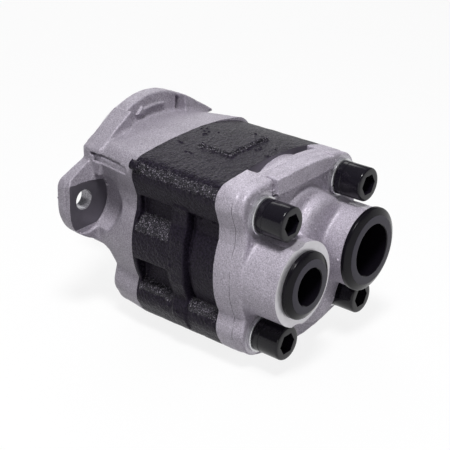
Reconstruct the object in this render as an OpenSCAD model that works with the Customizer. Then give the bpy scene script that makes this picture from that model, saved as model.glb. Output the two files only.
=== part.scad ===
// External gear pump with a two-bolt mounting flange and two rear ports.
// Millimetres. The origin is the centre of the pilot on the mounting face.
// The shaft points to +Y, +Z is up and the ports face -Y.

/* [Mounting flange] */
// Diameter of the pilot that centres the pump
pilot_d = 82.55; // [76:0.05:88]
// Height of the pilot in front of the mounting face
pilot_h = 6.35; // [4:0.05:9]
// Distance between the two mounting holes
bolt_spacing = 106.4; // [104:0.1:112]
// Diameter of the mounting holes
bolt_hole_d = 11.1; // [8.5:0.1:13]
// Diameter of the flange disc
flange_d = 90.4; // [88:0.2:94]
// Thickness of the flange at the ears and in the arrow pocket
flange_t = 7.6; // [6:0.1:10]
// How much thicker the flange is beside the arrow pocket
flange_pad_t = 4.4; // [2:0.1:6]
// Width of the arrow pocket on the back of the disc
arrow_pocket_w = 44; // [36:1:50]
// Distance from a mounting hole to the end of its ear
ear_end = 11.2; // [9:0.1:14]
// Height of the flat end of an ear
ear_end_h = 22; // [18:0.5:26]
// Radius cut clear round the back of a mounting hole
ear_clear_r = 17.3; // [14:0.1:18]
// Height of the raised webs above and below the back of an ear
ear_web_t = 2.2; // [1:0.1:4]
// Thickness of the flange at the upper edge of an ear
ear_edge_t = 4.5; // [3.5:0.1:6]

/* [Casing section] */
// Distance between the clamping screws, across
screw_pitch = 65; // [64:0.5:68]
// Greatest width of the casings
casing_w = 100.6; // [99:0.2:104]
// Width of the casings at their waists
waist_w = 90.8; // [88:0.2:94]
// Height of the casings' crowns above and below their centre
crown_h = 50.5; // [49:0.1:53]
// Distance from a crown to the level of the two screws under it
screw_edge = 18; // [17.4:0.1:19]
// Radius of the casings round the clamping screws
boss_r = 13; // [12.6:0.1:14]
// Radius of the front cover round its upper right screw
front_boss_r = 14.9; // [13:0.1:15.5]
// Reach of the upper left corner from the casings' centre
corner_reach = 49.3; // [48.5:0.1:50.5]
// Radius of the upper left corner
corner_r = 9.3; // [6:0.1:10]
// Fall of the upper left corner below the top crown
corner_fall = 2.7; // [2:0.1:4]

/* [Casing lengths] */
// Length of the front cover behind the mounting face
front_len = 39; // [37:0.5:44]
// Length of the lower part of the front cover
foot_len = 20; // [19:0.5:23]
// Radius between the upper and lower parts of the front cover
foot_fillet_r = 8.5; // [5:0.5:10]
// Length of the gear housing
housing_len = 55; // [52:0.5:62]
// Thickness of the rear cover's plate
rear_t = 16.5; // [15:0.5:20]
// Height of the port bosses on the rear cover
port_boss_h = 21.3; // [18:0.1:24]
// Height of the swelling between the port bosses
chamber_h = 8.5; // [6:0.1:11]
// Width of the swelling between the port bosses
chamber_w = 39; // [34:0.5:41]
// Height of the raised bar at the top of the rear cover
raised_bar_h = 2.5; // [1.5:0.1:4]

/* [Housing sides] */
// Depth of the pockets in the sides of the housing
side_pocket_d = 5; // [2:0.1:7]
// Width of the raised strip on the housing's left side
strip_w = 9; // [6:0.5:12]
// Distance from the front seam to the raised strip
strip_from_seam = 26; // [22:0.5:30]
// Width of the raised pad on top of the housing
top_pad_w = 30; // [20:1:40]
// Length of the raised pad on top of the housing
top_pad_len = 20; // [12:1:24]
// Height of the raised pad and strip
raised_h = 1; // [0.5:0.1:2]

/* [Ports] */
// Distance between the two ports
port_pitch = 54; // [53:0.5:56]
// Diameter of the pressure port boss
pressure_boss_d = 44.4; // [42:0.2:45]
// Diameter of the suction port boss
suction_boss_d = 43; // [42:0.2:45]
// Bore of the pressure port under its thread
pressure_bore_d = 24.2; // [22:0.1:26]
// Bore of the suction port under its thread
suction_bore_d = 30.4; // [28:0.1:32]
// Depth of both port bores
port_depth = 28; // [26:0.5:30]
// Diameter of the oil channels between ports and gears
channel_d = 12.6; // [10:0.2:13]

/* [Transit plugs] */
// Flange diameter of the pressure port plug
pressure_plug_d = 35.2; // [32:0.2:38]
// Flange diameter of the suction port plug
suction_plug_d = 45; // [42:0.2:46]
// Diameter of the hollow in the pressure port plug
pressure_hollow_d = 19.4; // [17:0.2:20.6]
// Diameter of the hollow in the suction port plug
suction_hollow_d = 28; // [24:0.2:28.4]
// Thickness of the plugs' rims
plug_rim_t = 2.4; // [1.5:0.1:3.5]
// Height of the plugs' bevelled fronts above the rim
plug_nose_h = 1.9; // [1:0.1:3]
// Length of the plugs' shanks in the ports
plug_shank = 14; // [10:0.5:20]
// Thickness of the plugs' closed ends
plug_end_t = 2; // [1:0.1:3]
// Radial clearance of a plug's shank in its port
plug_clearance = 0.05; // [0.02:0.01:0.1]

/* [Clamping screws] */
// Nominal diameter of the clamping screws
screw_d = 12; // [10:0.5:12]
// Diameter of the screw heads
head_d = 18; // [16:0.5:19]
// Height of the screw heads
head_h = 12; // [10:0.5:13]
// Width across flats of the sockets
socket_af = 10; // [8:0.5:11]
// Depth of the sockets
socket_depth = 6; // [4:0.5:8]
// Length of thread in the front cover
screw_grip = 15.5; // [12:0.5:16.5]
// Diameter of the clearance holes for the screws
screw_hole_d = 13.5; // [12.5:0.1:14]
// Outside diameter of the spring washers
spring_washer_d = 18.1; // [17:0.1:20]
// Thickness of the spring washers
spring_washer_t = 3.8; // [2.5:0.1:4.5]
// Outside diameter of the plain washers
plain_washer_d = 20; // [19:0.5:21]
// Thickness of the plain washers
plain_washer_t = 2; // [1.5:0.1:3]
// Diameter of the machined seats under the washers
seat_d = 24; // [22:0.5:25]
// Depth of the machined seats
seat_depth = 0.5; // [0.2:0.1:1.5]

/* [Gears] */
// Distance between the gear shafts
gear_centres = 35; // [34:0.5:36]
// Width of the gears
gear_w = 20; // [14:0.5:24]
// Pressure angle of the teeth in degrees
pressure_angle = 28; // [26:0.5:30]
// Tooth height above the pitch circle
addendum = 3.3; // [2.8:0.1:3.4]
// Gap between a tooth's tip and the mating root
root_gap = 0.3; // [0.2:0.05:0.6]
// Play between the teeth along the pitch circle
backlash = 0.2; // [0.1:0.02:0.3]
// Gap between the tooth tips and the housing
tip_gap = 0.1; // [0.05:0.01:0.3]

/* [Shafts and bearings] */
// Diameter of the gear journals
journal_d = 20; // [19.4:0.1:21]
// Radial running clearance of a journal in its bush
journal_clearance = 0.04; // [0.02:0.01:0.08]
// Wall of the bearing bushes
bush_wall = 1.5; // [1:0.1:2]
// Diameter of the shaft end that takes the coupling
shaft_end_d = 19.05; // [17:0.05:19.05]
// Length of the shaft end in front of the mounting face
shaft_end_len = 38; // [34:0.5:44]
// Width of the shaft key
key_w = 4.76; // [4:0.02:6]
// Length of the shaft key
key_len = 19; // [14:0.5:22]
// Axial play of the bearing blocks in the housing, each side
block_gap = 0.15; // [0.05:0.01:0.3]
// Axial gap between a gear and a bearing block
side_gap = 0.05; // [0.03:0.01:0.1]
// Gap between the bearing blocks and the housing bore
block_clearance = 0.05; // [0.03:0.01:0.1]

/* [Seals and dowels] */
// Outside diameter of the shaft seal
seal_d = 32; // [31:0.5:35]
// Width of the shaft seal
seal_w = 7; // [6:0.5:8]
// Depth of the shaft seal's inner face behind the mounting face
seal_seat = 9; // [8.5:0.5:12]
// Thickness of the retaining ring
ring_t = 1.2; // [1:0.1:1.6]
// Width of the cord in the cover seals
cord_w = 2.6; // [2:0.1:3]
// Depth of the cover seal grooves
cord_h = 2.2; // [1.6:0.1:3]
// Distance from the gear bores to the cover seals
seal_margin = 2; // [1.5:0.1:2.5]
// Width of the balance seals behind the bearing blocks
balance_w = 2.4; // [2:0.1:2.8]
// Depth of the balance seal grooves
balance_h = 2; // [1.5:0.1:3]
// Width of the backup strips inside the balance seals
backup_w = 1.2; // [0.8:0.1:1.5]
// Diameter of the locating dowels
dowel_d = 8; // [6:0.5:9]
// Length of the locating dowels
dowel_len = 16; // [12:1:20]
// Distance between the two dowels of a seam, across
dowel_pitch = 70; // [67:0.5:72]
// Height of one dowel above the casings' centre; the other lies as far below
dowel_offset = 8; // [6:0.5:10]

/* [Hidden] */
$fn = 96;
eps = 0.01;
far = 200;

// Places along the pump
mid_z = -gear_centres / 2;
front_seam = -front_len;
rear_seam = front_seam - housing_len;
rear_face = rear_seam - rear_t;
port_face = rear_face - port_boss_h;
gear_mid = (front_seam + rear_seam) / 2;
gear_front = gear_mid + gear_w / 2;
gear_rear = gear_mid - gear_w / 2;
block_front = front_seam - block_gap;
block_rear = rear_seam + block_gap;

// Clamping screws
screw_x = screw_pitch / 2;
screw_z = crown_h - screw_edge;
seat_y = rear_face + seat_depth;
washer_top = seat_y - plain_washer_t;
head_seat = washer_top - spring_washer_t;
head_top = head_seat - head_h;
screw_tip = front_seam + screw_grip;
tap_past_tip = 1.3;
head_chamfer = 0.8;
washer_gap = 0.15;
split_w = 0.8;
split_slant = 25;
split_turn = 30;
tap_bottom = screw_tip + tap_past_tip;
screw_places = [for (sx = [-1, 1], sz = [-1, 1]) [sx * screw_x, mid_z + sz * screw_z]];

// Gears
teeth = 10;
gear_module = gear_centres / teeth;
pitch_r = gear_centres / 2;
base_r = pitch_r * cos(pressure_angle);
tip_r = pitch_r + addendum;
root_r = gear_centres - tip_r - root_gap;
gear_bore_r = tip_r + tip_gap;
block_r = gear_bore_r - block_clearance;
half_tooth = 90 / teeth + involute_deg(pressure_angle) - backlash / pitch_r * 90 / PI;
flank_steps = 7;

// Shafts
journal_r = journal_d / 2;
bush_bore_r = journal_r + journal_clearance;
bush_r = bush_bore_r + bush_wall;
block_len = block_front - gear_front - side_gap;
bush_inset = 0.5;
journal_inset = 0.5;
tunnel_gap = 0.5;
ring_groove = 0.9;
ring_inward = 2.6;
ring_gap_turn = 12;
journal_step = 4;
shaft_chamfer = 1.5;
key_from_end = 3;

// Ports
port_x = port_pitch / 2;
rim_step = 0.4;
channel_x = gear_bore_r + seal_margin - channel_d / 2 - 0.8;
channel_end = port_face + port_depth - 4;

// Swellings of the rear cover
bearing_swell_r = 19;
chamber_x = 8;
chamber_up = 11;
chamber_down = 21.2;
raised_bar_left = 24.5;
raised_bar_len = 47;
raised_bar_w = 10.5;
bar_scale = 0.9995;
crescent_len = 6;
crescent_w = 49;
crescent_depth = 7;
crescent_floor = 1.7;
port_chamfer = 1.2;

// Sides of the gear housing; the pockets' heights are relative to the casings' centre
pocket_reach = screw_z - 5;
pocket_from_waist = 3.5;
pocket_from_front = 3;
pocket_from_rear = 2;
upper_pocket_h = 10;
lower_pocket = [-21, -8];
strip_edge = [11.5, 20.5];
stub_r = 2.6;
stub_len = 3.5;
stub_in = 1.9;
stub_up = 5;

// Outer section of the casings, relative to its centre
waist_from_screw = 12;
waist_z = screw_z - waist_from_screw;
lobe_r = (pow(waist_z, 2) + pow((casing_w - waist_w) / 2, 2)) / (casing_w - waist_w);
lobe_half = asin(waist_z / lobe_r);
corner_x = corner_reach - corner_r;
corner_z = crown_h - corner_fall - corner_r;
corner_flare = [0.3, 6];
shoulder_out = 4;
shoulder_down = 3;
shoulder_fall = 2;
shoulder_turn = atan2(shoulder_out, -shoulder_down)
    - acos(shoulder_fall / norm([shoulder_out, shoulder_down]));

// Flange
ear_x = bolt_spacing / 2 + ear_end;
ear_top = ear_end_h / 2;
pilot_chamfer = 1;
web_top = 25;
web_x = flange_d * 0.44;
web_inset = 0.2;
ear_edge = [[ear_x - 3, ear_top + 2], [web_x, web_top - 3.2]];
ear_edge_slant = 33;
ear_lower = [[ear_x - 3, -ear_top - 2], [ear_x - 8, -ear_top - 9]];
pad_flare = 4.5;
pad_turn = 31;
pad_from_rim = 0.1;
ear_clear_len = 10;
ear_clear_taper = 12;
arrow_edge = 6.5;
arrow_h = 0.9;
arrow_line_w = 1.6;
arrow_head_w = 4.8;
arrow_half_turn = 13;
arrow_tip_turn = 20;
block_bottom = -27.5;
plate_lap = 0.5;
block_narrow_x = 44.5;
block_draft = atan((corner_reach - block_narrow_x) / (front_len - flange_t));

function involute_deg(a) = tan(a) * 180 / PI - a;
function polar(r, a) = [r * sin(a), r * cos(a)];
function flank_angle(r) = half_tooth - involute_deg(acos(min(1, base_r / r)));

// Points of an arc about a centre, without its last point; angles run clockwise from the top
function arc(centre, r, from, to) = let (n = ceil(abs(to - from) / (2 * acos(1 - 0.02 / r))))
    [for (i = [0 : n - 1]) centre + polar(r, from + (to - from) * i / n)];

// Radius of the crown that runs tangent from the top into a corner of radius r at x and z
function crown_r(x, z, r) = (x * x + pow(crown_h - z, 2) - r * r) / (2 * (crown_h - z - r));
function crown_turn(x, z, r) = atan2(x, crown_r(x, z, r) - (crown_h - z));

// Outline of the casings; top_boss_r is the radius round the upper right screw
function casing_outline(top_boss_r) = let (
    left_r = crown_r(corner_x, corner_z, corner_r),
    left_turn = crown_turn(corner_x, corner_z, corner_r),
    right_r = crown_r(screw_x, screw_z, top_boss_r),
    right_turn = crown_turn(screw_x, screw_z, top_boss_r),
    bottom_r = crown_r(screw_x, screw_z, boss_r),
    bottom_turn = crown_turn(screw_x, screw_z, boss_r),
    shoulder_x = screw_x + shoulder_out,
    shoulder_z = screw_z - shoulder_down
) concat(
    arc([0, crown_h - left_r], left_r, -left_turn, 0),
    arc([0, crown_h - right_r], right_r, 0, right_turn),
    arc([screw_x, screw_z], top_boss_r, right_turn, shoulder_turn),
    arc([shoulder_x, shoulder_z], top_boss_r - shoulder_fall, shoulder_turn, 110),
    arc([casing_w / 2 - lobe_r, 0], lobe_r, 90 - lobe_half, 90 + lobe_half),
    arc([shoulder_x, -shoulder_z], boss_r - shoulder_fall, 70, 180 - shoulder_turn),
    arc([screw_x, -screw_z], boss_r, 180 - shoulder_turn, 180 - bottom_turn),
    arc([0, bottom_r - crown_h], bottom_r, 180 - bottom_turn, 180 + bottom_turn),
    arc([-screw_x, -screw_z], boss_r, 180 + bottom_turn, 180 + shoulder_turn),
    arc([-shoulder_x, -shoulder_z], boss_r - shoulder_fall, 180 + shoulder_turn, 290),
    arc([lobe_r - casing_w / 2, 0], lobe_r, 270 - lobe_half, 270 + lobe_half),
    [[-waist_w / 2 - corner_flare[0], waist_z + corner_flare[1]]],
    arc([-corner_x, corner_z], corner_r, 248, 360 - left_turn)
);

// Outline of one tooth, pointing up, from its left root to its right root
function tooth(turn) = concat(
    [polar(root_r, turn - half_tooth)],
    [for (i = [0 : flank_steps]) let (r = base_r + (tip_r - base_r) * i / flank_steps)
        polar(r, turn - flank_angle(r))],
    [for (i = [flank_steps : -1 : 0]) let (r = base_r + (tip_r - base_r) * i / flank_steps)
        polar(r, turn + flank_angle(r))],
    [polar(root_r, turn + half_tooth)]
);

// Extrudes a section drawn in X and Z from y_front back to y_rear
module slab(y_front, y_rear) {
    translate([0, y_front, 0]) rotate([90, 0, 0]) linear_extrude(y_front - y_rear) children();
}

// A round bar along Y at x and z
module bar(r, y_front, y_rear, x = 0, z = 0) {
    translate([x, y_front, z]) rotate([90, 0, 0]) cylinder(r = r, h = y_front - y_rear);
}

// A cone along Y, from radius r_front to r_rear
module cone(r_front, r_rear, y_front, y_rear, x = 0, z = 0) {
    translate([x, y_front, z]) rotate([90, 0, 0])
        cylinder(r1 = r_front, r2 = r_rear, h = y_front - y_rear);
}

module block_at(x0, x1, y0, y1, z0, z1) {
    translate([min(x0, x1), min(y0, y1), min(z0, z1)])
        cube([abs(x1 - x0), abs(y1 - y0), abs(z1 - z0)]);
}

// Two equal circles, one on each gear shaft
module gear_pair_circles(r) {
    circle(r = r);
    translate([0, -gear_centres]) circle(r = r);
}

// A racetrack round both gear shafts
module racetrack(r) {
    gear_pair_circles(r);
    translate([-r, -gear_centres]) square([2 * r, gear_centres]);
}

// Outer section shared by the three casings
module casing_section(top_boss_r = boss_r) {
    translate([0, mid_z]) polygon(casing_outline(top_boss_r));
}

module screw_holes(r, y_front, y_rear) {
    for (p = screw_places) bar(r, y_front, y_rear, p[0], p[1]);
}

// Locating dowels sit on opposite sides of a seam
module dowel_bars(seam, r = dowel_d / 2) {
    for (s = [-1, 1])
        bar(r, seam + dowel_len / 2, seam - dowel_len / 2, s * dowel_pitch / 2, mid_z - s * dowel_offset);
}

// Cord that seals a cover against the housing
module cord_section() {
    difference() {
        racetrack(gear_bore_r + seal_margin + cord_w);
        racetrack(gear_bore_r + seal_margin);
    }
}

// Seal shaped like a 3 behind a bearing block, on the pressure side
module balance_section(inner, outer) {
    intersection() {
        difference() {
            gear_pair_circles(outer);
            gear_pair_circles(inner);
        }
        translate([-far, -far]) square([far + 2, 2 * far]);
    }
}
balance_r_in = pitch_r - balance_w / 2;
balance_r_out = pitch_r + balance_w / 2;

// Outline of the flange plate with its two ears
module flange_section() {
    circle(d = flange_d, $fn = 180);
    for (s = [-1, 1]) {
        polygon([
            [0, web_top - 2], [s * ear_edge[1][0], ear_edge[1][1]],
            [s * ear_edge[0][0], ear_edge[0][1]], [s * ear_x, ear_top - 1],
            [s * ear_x, 1 - ear_top], [s * ear_lower[0][0], ear_lower[0][1]],
            [s * ear_lower[1][0], ear_lower[1][1]], [s * web_x, block_bottom],
            [0, block_bottom]
        ]);
    }
}

// Thicker back of the flange, on both sides of the arrow pocket
module flange_back_section() {
    pad_r = flange_d / 2 - pad_from_rim;
    difference() {
        polygon(concat(
            [[-web_x, 0], [-web_x - pad_flare, web_top]],
            arc([0, 0], pad_r, -pad_turn, pad_turn),
            [[web_x + pad_flare, web_top], [web_x, 0]]
        ));
        translate([-arrow_pocket_w / 2, 0]) square([arrow_pocket_w, far]);
    }
}

// Curved arrow on the back of the flange that shows the turning direction
module turning_arrow() {
    arrow_r = flange_d / 2 - arrow_edge;
    slab(-flange_t, -flange_t - arrow_h) {
        intersection() {
            difference() {
                circle(r = arrow_r + arrow_line_w / 2, $fn = 180);
                circle(r = arrow_r - arrow_line_w / 2, $fn = 180);
            }
            polygon([[0, 0], polar(far, -arrow_half_turn), polar(far, arrow_half_turn)]);
        }
        polygon([
            polar(arrow_r + arrow_head_w / 2, 1 - arrow_half_turn),
            polar(arrow_r - arrow_head_w / 2, 1 - arrow_half_turn),
            polar(arrow_r, -arrow_tip_turn)
        ]);
    }
}

// Side view of the front cover's block; its upper part narrows towards the flange
module front_cover_side() {
    foot_front = front_seam + foot_len;
    difference() {
        block_at(-far, far, 0, front_seam, block_bottom, far);
        for (s = [0, 1]) mirror([s, 0, 0]) translate([block_narrow_x, -flange_t, block_bottom - 1])
            rotate([0, 0, block_draft]) translate([0, -far / 2, 0]) cube([far, far, far]);
    }
    block_at(-far, far, foot_front, front_seam, -far, block_bottom + 1);
    difference() {
        block_at(-far, far, foot_front - 1, foot_front + foot_fillet_r,
            block_bottom - foot_fillet_r, block_bottom + 1);
        translate([-far, foot_front + foot_fillet_r, block_bottom - foot_fillet_r])
            rotate([0, 90, 0]) cylinder(r = foot_fillet_r, h = 2 * far);
    }
}

// Webs above and below the back of each ear
module ear_webs() {
    slab(-1, -flange_t - ear_web_t) difference() {
        for (s = [-1, 1]) polygon([
            [s * web_x / 2, ear_edge[1][1]],
            [s * (ear_edge[1][0] - web_inset), ear_edge[1][1] - web_inset],
            [s * (ear_edge[0][0] - web_inset), ear_edge[0][1] - web_inset],
            [s * (ear_lower[0][0] - web_inset), ear_lower[0][1] + web_inset],
            [s * (ear_lower[1][0] - web_inset), ear_lower[1][1] + web_inset],
            [s * (web_x - web_inset), block_bottom + web_inset],
            [s * web_x / 2, block_bottom + web_inset]
        ]);
        translate([-far, -ear_clear_r + 1]) square([2 * far, ear_clear_r + ear_top - 2]);
    }
}

module ear_edge_cuts() {
    run = ear_edge[0] - ear_edge[1];
    for (s = [-1, 1])
        translate([s * ear_edge[0][0], -ear_edge_t, ear_edge[0][1]])
            rotate([-ear_edge_slant, s * atan(-run[1] / run[0]), 0])
                translate([-10 - s * 8, -20, -16]) cube([20, 20, 30]);
}

module front_cover() color("#b4aeb4") {
    difference() {
        union() {
            // Pilot with a lead-in chamfer
            bar(pilot_d / 2, pilot_h - pilot_chamfer, 0);
            cone(pilot_d / 2 - pilot_chamfer, pilot_d / 2, pilot_h, pilot_h - pilot_chamfer);
            // Flange plate with slanted faces along the upper edges of its ears
            difference() {
                union() {
                    slab(0, -flange_t) flange_section();
                    ear_webs();
                }
                ear_edge_cuts();
            }
            slab(plate_lap - flange_t, -flange_t - flange_pad_t) flange_back_section();
            intersection() {
                slab(plate_lap - flange_t, front_seam) casing_section(front_boss_r);
                front_cover_side();
            }
            turning_arrow();
        }
        // Mounting holes and the clear space behind them
        for (s = [-1, 1]) {
            bar(bolt_hole_d / 2, eps, -flange_t - eps, s * bolt_spacing / 2);
            bar(ear_clear_r, -flange_t, -flange_t - ear_clear_len, s * bolt_spacing / 2, -1);
            cone(ear_clear_r, ear_clear_r - ear_clear_taper, -flange_t - ear_clear_len + eps,
                -flange_t - ear_clear_len - ear_clear_taper, s * bolt_spacing / 2, -1);
        }
        // Tunnel for the shaft, seat for the seal and groove for its ring
        bar(journal_r + tunnel_gap, 0, front_seam - eps);
        bar(seal_d / 2, pilot_h + eps, -seal_seat);
        bar(seal_d / 2 + ring_groove, -seal_seat + seal_w + ring_t, -seal_seat + seal_w);
        screw_holes(screw_d / 2, tap_bottom, front_seam - eps);
        dowel_bars(front_seam);
        slab(front_seam + cord_h, front_seam - eps) cord_section();
    }
}

// Pockets cast into one side of the housing, s = -1 on the left
module side_pockets(s) {
    strip_front = front_seam - strip_from_seam;
    strip_rear = strip_front - strip_w;
    floor_x = s * (waist_w / 2 + pocket_from_waist - side_pocket_d);
    for (z = [[pocket_reach - upper_pocket_h, pocket_reach], lower_pocket])
        block_at(floor_x, s * far, front_seam - pocket_from_front, strip_front,
            mid_z + z[0], mid_z + z[1]);
    block_at(floor_x, s * far, strip_rear, rear_seam + pocket_from_rear,
        mid_z - pocket_reach, mid_z + pocket_reach);
}

module gear_housing() color("#1c1c1f") {
    strip_front = front_seam - strip_from_seam;
    difference() {
        union() {
            slab(front_seam, rear_seam) casing_section();
            // Raised pad on top
            intersection() {
                block_at(-top_pad_w / 2, top_pad_w / 2, gear_mid + top_pad_len / 2,
                    gear_mid - top_pad_len / 2, 0, far);
                translate([0, 0, raised_h]) slab(front_seam, rear_seam) casing_section();
            }
            // Raised strip down the left side
            intersection() {
                block_at(-far, 0, strip_front, strip_front - strip_w,
                    mid_z - crown_h + strip_edge[0], mid_z + crown_h - strip_edge[1]);
                translate([-raised_h, 0, 0]) slab(front_seam, rear_seam) casing_section();
            }
            // Stub left by the casting, at the upper left corner of the front seam
            bar(stub_r, front_seam, front_seam - stub_len, stub_in - corner_reach,
                mid_z + corner_z + stub_up);
        }
        for (s = [-1, 1]) side_pockets(s);
        slab(front_seam + eps, rear_seam - eps) gear_pair_circles(gear_bore_r);
        // Oil channels beside the meshing teeth
        for (s = [-1, 1]) bar(channel_d / 2, gear_front, rear_seam - eps, s * channel_x, mid_z);
        block_at(-channel_x, channel_x, gear_front, gear_rear,
            mid_z - channel_d / 2, mid_z + channel_d / 2);
        screw_holes(screw_hole_d / 2, front_seam + eps, rear_seam - eps);
        dowel_bars(front_seam);
        dowel_bars(rear_seam);
    }
}

// Swelling beside the ports, over the channels and the suction chamber
module chamber_section() {
    r = chamber_w / 2;
    translate([chamber_x, mid_z + chamber_up]) circle(r = r);
    translate([chamber_x, mid_z - chamber_down]) circle(r = r);
    translate([chamber_x - r, mid_z - chamber_down]) square([2 * r, chamber_down + chamber_up]);
}

module rear_cover() color("#bab4ba") {
    seat_r = seat_d / 2;
    difference() {
        union() {
            slab(rear_seam, rear_face) casing_section();
            bar(pressure_boss_d / 2, rear_face + 1, port_face, -port_x, mid_z);
            bar(suction_boss_d / 2, rear_face + 1, port_face, port_x, mid_z);
            // Swellings over the drive bearing and the suction chamber
            bar(bearing_swell_r, rear_face + 1, rear_face - raised_bar_h);
            slab(rear_face + 1, rear_face - chamber_h) chamber_section();
            // Raised bar between the two upper screws
            slab(rear_face + 1, rear_face - raised_bar_h) intersection() {
                // Drawn a little inside the plate's own outline
                polygon([for (p = casing_outline(boss_r)) p * bar_scale + [0, mid_z]]);
                translate([-raised_bar_left, mid_z + crown_h - raised_bar_w])
                    square([raised_bar_len, far]);
            }
        }
        // Crescent hollow along the top of the front edge
        slab(rear_seam + eps, rear_seam - crescent_len) difference() {
            translate([-crescent_w / 2, mid_z + crown_h - crescent_depth])
                square([crescent_w, far]);
            circle(r = mid_z + crown_h - crescent_floor, $fn = 180);
        }
        // Ports with chamfered mouths, and the channels to the gears
        for (p = [[-port_x, pressure_bore_d / 2], [port_x, suction_bore_d / 2]]) {
            bar(p[1], port_face + port_depth, port_face - eps, p[0], mid_z);
            cone(p[1], p[1] + port_chamfer, port_face + port_chamfer, port_face - eps, p[0], mid_z);
        }
        for (s = [-1, 1]) bar(channel_d / 2, rear_seam + eps, channel_end, s * channel_x, mid_z);
        screw_holes(screw_hole_d / 2, rear_seam + eps, rear_face - eps);
        screw_holes(seat_r, seat_y, port_face - eps);
        dowel_bars(rear_seam);
        slab(rear_seam + eps, rear_seam - cord_h) cord_section();
    }
}

// A gear of straight teeth between its side faces; the first tooth points along turn
module gear(turn) {
    slab(gear_front - side_gap, gear_rear + side_gap) {
        circle(r = root_r);
        polygon([for (i = [0 : teeth - 1]) each tooth(turn + i * 360 / teeth)]);
    }
}

module drive_gear_shaft() color("#c8c8cc") {
    difference() {
        union() {
            gear(180);
            bar(journal_r, pilot_h - journal_step, block_rear + journal_inset);
            bar(shaft_end_d / 2, shaft_end_len - shaft_chamfer, 0);
            cone(shaft_end_d / 2 - shaft_chamfer, shaft_end_d / 2,
                shaft_end_len, shaft_end_len - shaft_chamfer);
        }
        key_block();
    }
}

module driven_gear_shaft() color("#c8c8cc") {
    translate([0, 0, -gear_centres]) {
        gear(180 / teeth);
        bar(journal_r, block_front - journal_inset, block_rear + journal_inset);
    }
}

// The key lies half in the shaft end, on top
module key_block() {
    key_end = shaft_end_len - key_from_end;
    block_at(-key_w / 2, key_w / 2, key_end - key_len, key_end,
        shaft_end_d / 2 - key_w / 2, shaft_end_d / 2 + key_w / 2);
}

module shaft_key() color("#8a8a8e") key_block();

// Bearing block between y_front and y_rear with a groove for its balance seal
module bearing_block(y_front, y_rear, groove_front, groove_rear) {
    difference() {
        slab(y_front, y_rear) gear_pair_circles(block_r);
        for (z = [0, -gear_centres]) bar(bush_r, y_front + eps, y_rear - eps, 0, z);
        slab(groove_front, groove_rear) balance_section(balance_r_in, balance_r_out);
        slab(groove_front, groove_rear)
            balance_section(balance_r_in - backup_w, balance_r_in);
    }
}

module front_bearing_block() color("#a8a49c")
    bearing_block(block_front, gear_front, block_front + eps, block_front - balance_h);

module rear_bearing_block() color("#a8a49c")
    bearing_block(gear_rear, block_rear, block_rear + balance_h, block_rear - eps);

module bush(y_front, y_rear, z) {
    difference() {
        bar(bush_r, y_front, y_rear, 0, z);
        bar(bush_bore_r, y_front + eps, y_rear - eps, 0, z);
    }
}

module front_drive_bush() color("#9a7b4a")
    bush(block_front - bush_inset, gear_front + bush_inset, 0);
module front_driven_bush() color("#9a7b4a")
    bush(block_front - bush_inset, gear_front + bush_inset, -gear_centres);
module rear_drive_bush() color("#9a7b4a")
    bush(gear_rear - bush_inset, block_rear + bush_inset, 0);
module rear_driven_bush() color("#9a7b4a")
    bush(gear_rear - bush_inset, block_rear + bush_inset, -gear_centres);

seal_back = -seal_seat;
seal_front = seal_back + seal_w;
spring_r = journal_r + 2.4;
spring_wire_r = 0.8;
seal_wall = 2;
lip_len = 4.5;
spring_from_back = 2.2;

module shaft_seal() color("#2a2422") {
    difference() {
        bar(seal_d / 2, seal_front, seal_back);
        // Lip on the shaft, with the hollow behind it that holds the spring
        bar(journal_r + journal_clearance, seal_front + eps, seal_back - eps);
        difference() {
            bar(seal_d / 2 - seal_wall, seal_front - seal_wall, seal_back - eps);
            bar(spring_r - spring_wire_r, seal_front, seal_back - eps);
        }
        bar(journal_r + seal_wall / 2, seal_front + eps, seal_back + lip_len);
    }
}

// Garter spring that presses the lip of the shaft seal on the shaft
module seal_spring() color("#b0b0b4")
    translate([0, seal_back + spring_from_back, 0]) rotate([90, 0, 0])
        rotate_extrude($fn = 72) translate([spring_r, 0]) circle(r = spring_wire_r, $fn = 20);

module seal_retaining_ring() color("#55555a")
    slab(seal_front + ring_t, seal_front) difference() {
        circle(r = seal_d / 2 + ring_groove);
        circle(r = seal_d / 2 - ring_inward);
        polygon([[0, 0], polar(far, 180 - ring_gap_turn), polar(far, 180 + ring_gap_turn)]);
    }

module front_cover_seal() color("#222222")
    slab(front_seam + cord_h, front_seam) cord_section();
module rear_cover_seal() color("#222222")
    slab(rear_seam, rear_seam - cord_h) cord_section();

module front_balance_seal() color("#2c2c30")
    slab(front_seam, block_front - balance_h) balance_section(balance_r_in, balance_r_out);
module rear_balance_seal() color("#2c2c30")
    slab(block_rear + balance_h, rear_seam) balance_section(balance_r_in, balance_r_out);

module front_backup_strip() color("#e6e2d8")
    slab(front_seam, block_front - balance_h) balance_section(balance_r_in - backup_w, balance_r_in);
module rear_backup_strip() color("#e6e2d8")
    slab(block_rear + balance_h, rear_seam) balance_section(balance_r_in - backup_w, balance_r_in);

module front_dowels() color("#c0c0c4") dowel_bars(front_seam);
module rear_dowels() color("#c0c0c4") dowel_bars(rear_seam);

module cap_screws() color("#141416") {
    socket_r = socket_af / 2 / cos(30);
    for (p = screw_places) difference() {
        union() {
            bar(screw_d / 2, screw_tip, head_seat, p[0], p[1]);
            bar(head_d / 2, head_seat, head_top + head_chamfer, p[0], p[1]);
            cone(head_d / 2, head_d / 2 - head_chamfer, head_top + head_chamfer, head_top,
                p[0], p[1]);
        }
        translate([p[0], head_top + socket_depth, p[1]]) rotate([90, 0, 0])
            cylinder(r = socket_r, h = socket_depth + 1, $fn = 6);
    }
}

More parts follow.
